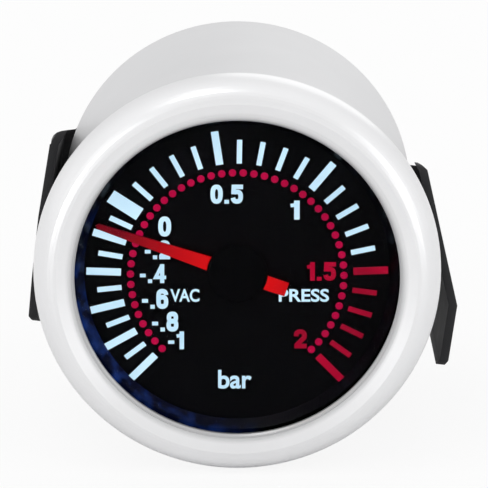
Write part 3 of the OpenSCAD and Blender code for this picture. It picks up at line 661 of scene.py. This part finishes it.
# Text, its middle across and up from the middle of the printed scale, its width and height, in mm
dialPrint = {
    "numbersLit": (addNumber, "markWhite", "lamp_white", [
        ("0.5", -1.54, 12.44, 4.80, 2.88), ("0", -10.65, 7.52, 1.92, 3.03),
        ("-.2", -11.76, 3.97, 3.84, 2.88), ("-.4", -12.42, 0.33, 3.99, 2.88),
        ("-.6", -12.13, -3.53, 3.99, 3.03), ("-.8", -10.65, -7.01, 3.99, 3.03),
        ("-1", -9.03, -9.89, 2.51, 2.73), ("1", 8.52, 10.02, 1.45, 2.88)]),
    "numbersRed": (addNumber, "markRed", "pointer_red", [
        ("1.5", 12.39, 0.67, 4.28, 2.80), ("2", 9.29, -9.66, 1.92, 2.88)]),
    "wordsLit": (addWord, "markWhite", "lamp_white", [
        ("VAC", -7.70, -3.00, 4.28, 1.97), ("PRESS", 9.81, -3.00, 7.39, 1.97),
        ("bar", -0.35, -15.87, 4.95, 2.88)]),
}
weldDistance = 0.0005 * mm
for name, (addText, finish, slot, words) in dialPrint.items():
    bm = bmesh.new()
    for word in words:
        addText(bm, *word)
    bmesh.ops.translate(bm, verts=bm.verts, vec=printCentre)
    bmesh.ops.remove_doubles(bm, verts=bm.verts, dist=weldDistance)
    bmesh.ops.recalc_face_normals(bm, faces=bm.faces)
    piece = addObject(name, meshFrom(bm, name), finishes[finish])
    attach(piece, "gauge")
print("numbers and words done")


# Bracket: bent sheet has rounded edges, and each leg's upper corner follows its outline in the photo
bracketPlan = {
    "edge": 0.28 * mm, "segments": 2, "edgeAngle": 50.0, "smoothAngle": 40.0,
    "nearDepth": 4.0 * mm, "farDepth": 62.0 * mm,
    "cuts": [                  # pixels of the picture, one outline per leg
        [(40.0, 144.0), (50.8, 144.0), (51.6, 139.0), (53.6, 135.0), (57.0, 132.4), (61.0, 131.0),
         (66.0, 130.2), (76.0, 129.0), (76.0, 95.0), (40.0, 95.0)],
        [(405.0, 140.0), (405.0, 150.0), (410.0, 156.0), (415.0, 161.0), (422.0, 165.0), (427.0, 169.4),
         (429.8, 174.0), (445.0, 174.0), (445.0, 140.0)],
    ],
}


def makeCutter(name, outline, plan):
    bm = bmesh.new()
    rings = [[bm.verts.new(pixelPoint(cameraPlan, *pixel, depth)) for pixel in outline]
             for depth in (plan["nearDepth"], plan["farDepth"])]
    bm.faces.new(rings[0])
    bm.faces.new(rings[1][::-1])
    for i, corner in enumerate(rings[0]):
        after = (i + 1) % len(outline)
        bm.faces.new((corner, rings[1][i], rings[1][after], rings[0][after]))
    bmesh.ops.recalc_face_normals(bm, faces=bm.faces)
    return linkObject(name, meshFrom(bm, name))


def makeBracket(plan):
    holder = linkObject("bracketHolder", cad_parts["bracket"].data.copy())
    cutters = [makeCutter("legCutter", outline, plan) for outline in plan["cuts"]]
    for cutter in cutters:
        cut = holder.modifiers.new("cut", "BOOLEAN")
        cut.object = cutter
        cut.operation = "DIFFERENCE"
        cut.solver = "EXACT"
    rounding = holder.modifiers.new("rounding", "BEVEL")
    rounding.width = plan["edge"]
    rounding.segments = plan["segments"]
    rounding.limit_method = "ANGLE"
    rounding.angle_limit = math.radians(plan["edgeAngle"])
    mesh = plainMesh("bentBracket", holder)
    for cutter in cutters:
        bpy.data.objects.remove(cutter)
    shadeSmooth(mesh, plan["smoothAngle"])
    return addObject("bentBracket", mesh, finishes["bracketBlack"])


bracket = makeBracket(bracketPlan)
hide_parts("bracket")
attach(bracket, "bracket")
print("bracket done")


# Clamping studs with a real thread: a tree winds a rounded ridge along a spiral round the core
studLow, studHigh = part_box("clamp_studs")
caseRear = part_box("case_cup")[1].y
studPlan = {"crest": 2.0 * mm, "head": 3.4 * mm, "headHeight": 1.2 * mm,
            "ridge": 0.26 * mm, "pitch": 0.7 * mm,
            "coreSides": 32, "headSides": 40, "turnSteps": 24, "ridgeSides": 8}


def makeStudTree(plan):
    tree, given = newTree("studTree", {
        "Crest Radius": plan["crest"], "Ridge": plan["ridge"], "Pitch": plan["pitch"],
        "Start": 47.0 * mm, "End": 64.0 * mm, "Head Radius": plan["head"], "Head Front": 44.0 * mm,
        "Head Rear": 45.4 * mm, "Across": 16.4 * mm, "Drop": 1.9 * mm})
    alongAxis = (math.pi / -2, 0.0, 0.0)

    def rod(radius, front, rear, sides):
        shape = addNode(tree, "GeometryNodeMeshCylinder", {
            "Vertices": sides, "Radius": radius, "Depth": addMaths(tree, "SUBTRACT", rear, front)})
        middle = addMaths(tree, "MULTIPLY", addMaths(tree, "ADD", rear, front), 0.5)
        return moveBy(tree, shape.outputs["Mesh"], addVector(tree, {"Y": middle}), alongAxis)

    rootRadius = addMaths(tree, "SUBTRACT", given["Crest Radius"], given["Ridge"])
    tip = addMaths(tree, "SUBTRACT", given["End"], given["Ridge"])
    first = addMaths(tree, "ADD", given["Start"], given["Ridge"])
    length = addMaths(tree, "SUBTRACT", tip, first)
    spiral = addNode(tree, "GeometryNodeCurveSpiral", {
        "Resolution": plan["turnSteps"], "Rotations": addMaths(tree, "DIVIDE", length, given["Pitch"]),
        "Start Radius": rootRadius, "End Radius": rootRadius, "Height": length})
    profile = addNode(tree, "GeometryNodeCurvePrimitiveCircle", {
        "Resolution": plan["ridgeSides"], "Radius": given["Ridge"]})
    ridge = addNode(tree, "GeometryNodeCurveToMesh", {
        "Curve": spiral.outputs["Curve"], "Profile Curve": profile.outputs["Curve"], "Fill Caps": True})
    wound = moveBy(tree, ridge.outputs["Mesh"], addVector(tree, {"Y": first}), alongAxis)
    core = rod(rootRadius, given["Head Rear"], given["End"], plan["coreSides"])
    head = rod(given["Head Radius"], given["Head Front"], given["Head Rear"], plan["headSides"])
    stud = addNode(tree, "GeometryNodeJoinGeometry")
    for part in (core, head, wound):
        tree.links.new(part, stud.inputs["Geometry"])
    left = addVector(tree, {"X": addMaths(tree, "MULTIPLY", given["Across"], -1.0), "Z": given["Drop"]})
    apart = addVector(tree, {"X": addMaths(tree, "MULTIPLY", given["Across"], 2.0),
                             "Z": addMaths(tree, "MULTIPLY", given["Drop"], -2.0)})
    points = addNode(tree, "GeometryNodeMeshLine", {"Count": 2, "Start Location": left, "Offset": apart})
    pair = copyOnPoints(tree, points.outputs["Mesh"], stud.outputs["Geometry"])
    endTree(tree, pair, given["Material"])
    return tree


studs = pieceFromTree("threadedStuds", makeStudTree(studPlan), {
    "Start": caseRear, "End": studHigh.y,
    "Head Front": studLow.y, "Head Rear": studLow.y + studPlan["headHeight"],
    "Across": studHigh.x - studPlan["head"], "Drop": studHigh.z - studPlan["head"]}, finishes["steel"])
shadeSmooth(studs.data)
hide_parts("clamp_studs")
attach(studs, "gauge")
print("studs done")


# Floor, world and lamps: a plain pale studio
studioPlan = {
    "floorLight": (0.90, 0.90, 0.90), "floorDark": (0.86, 0.86, 0.86),
    "floorSize": 6.0, "floorScale": 3.0, "floorRough": 0.9,
    "floorSeen": 0.88,      # share of plain white that the camera sees in the floor
    "worldLight": 0.84,     # what lights the object
    "tentSide": 1.0,        # what gloss mirrors from the sides of the tent
    "tentFront": 0.74,      # and from its front and rear
    "tentSpan": (0.3, 0.9), # how squarely a way looks forward where the side ends and the front begins
}


def makeFloor(plan):
    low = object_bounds()[0][2]
    half = plan["floorSize"] / 2
    bm = bmesh.new()
    outline = ((-half, -half), (half, -half), (half, half), (-half, half))
    bm.faces.new([bm.verts.new((x, y, low)) for x, y in outline])
    material, tree, shader, place = newMaterial("paleFloor")
    clouds = addNoise(tree, place, plan["floorScale"])
    setSockets(tree, shader, {
        "Base Color": addRamp(tree, clouds, (0.0, 1.0), (plan["floorDark"], plan["floorLight"])),
        "Roughness": plan["floorRough"], "Specular IOR Level": 0.0})
    white = addNode(tree, "ShaderNodeEmission", {"Color": (1.0, 1.0, 1.0, 1.0), "Strength": 1.0})
    path = addNode(tree, "ShaderNodeLightPath").outputs
    seen = addMaths(tree, "MULTIPLY", path["Is Camera Ray"], plan["floorSeen"])
    mix = addNode(tree, "ShaderNodeMixShader", {
        0: seen, 1: shader.outputs["BSDF"], 2: white.outputs["Emission"]})
    tree.links.new(mix.outputs["Shader"], tree.nodes["Material Output"].inputs["Surface"])
    addObject("floor", meshFrom(bm, "floor"), material)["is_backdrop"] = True


def makeWorld(plan):
    world = bpy.data.worlds.new("studioWorld")
    bpy.context.scene.world = world
    world.use_nodes = True
    tree = world.node_tree
    tree.nodes.clear()
    path = addNode(tree, "ShaderNodeLightPath").outputs
    way = addNode(tree, "ShaderNodeTexCoord").outputs["Generated"]
    depth = addMaths(tree, "ABSOLUTE", addNode(tree, "ShaderNodeSeparateXYZ", {0: way}).outputs["Y"])
    tent = addRange(tree, depth, *plan["tentSpan"], plan["tentSide"], plan["tentFront"])
    glossy = addRange(tree, path["Is Glossy Ray"], 0.0, 1.0, plan["worldLight"], tent)
    seen = addMaths(tree, "MAXIMUM", path["Is Camera Ray"], path["Is Transmission Ray"])
    strength = addRange(tree, seen, 0.0, 1.0, glossy, 1.0)
    light = addNode(tree, "ShaderNodeBackground", {"Color": (1.0, 1.0, 1.0, 1.0), "Strength": strength})
    addNode(tree, "ShaderNodeOutputWorld", {"Surface": light.outputs["Background"]})


def addLamp(name, place, size, power):
    data = bpy.data.lights.new(name, "AREA")
    data.shape = "DISK"
    data.size = size
    data.energy = power
    lamp = linkObject(name, data)
    lamp.location = place
    lamp.rotation_mode = "QUATERNION"
    lamp.rotation_quaternion = Vector(place).to_track_quat("Z", "Y")


makeFloor(studioPlan)
makeWorld(studioPlan)
lamps = {     # place and size in metres, power in watts
    "topLamp": ((-0.3, -0.25, 1.2), 0.4, 1.0),
    "leftLamp": ((-0.9, -0.9, 0.5), 0.7, 1.2),
    "rightLamp": ((1.0, -0.6, 0.4), 0.7, 1.0),
    "lowLeftLamp": ((-0.75, -0.8, 0.06), 0.12, 1.1),
    "lowRightLamp": ((0.75, -0.8, 0.06), 0.12, 1.1),
    "rearLamp": ((0.3, 1.1, 0.5), 0.8, 1.0),
}
for name, (place, size, power) in lamps.items():
    addLamp(name, place, size, power)
bpy.context.scene.view_settings.view_transform = "Standard"

print("scene done")
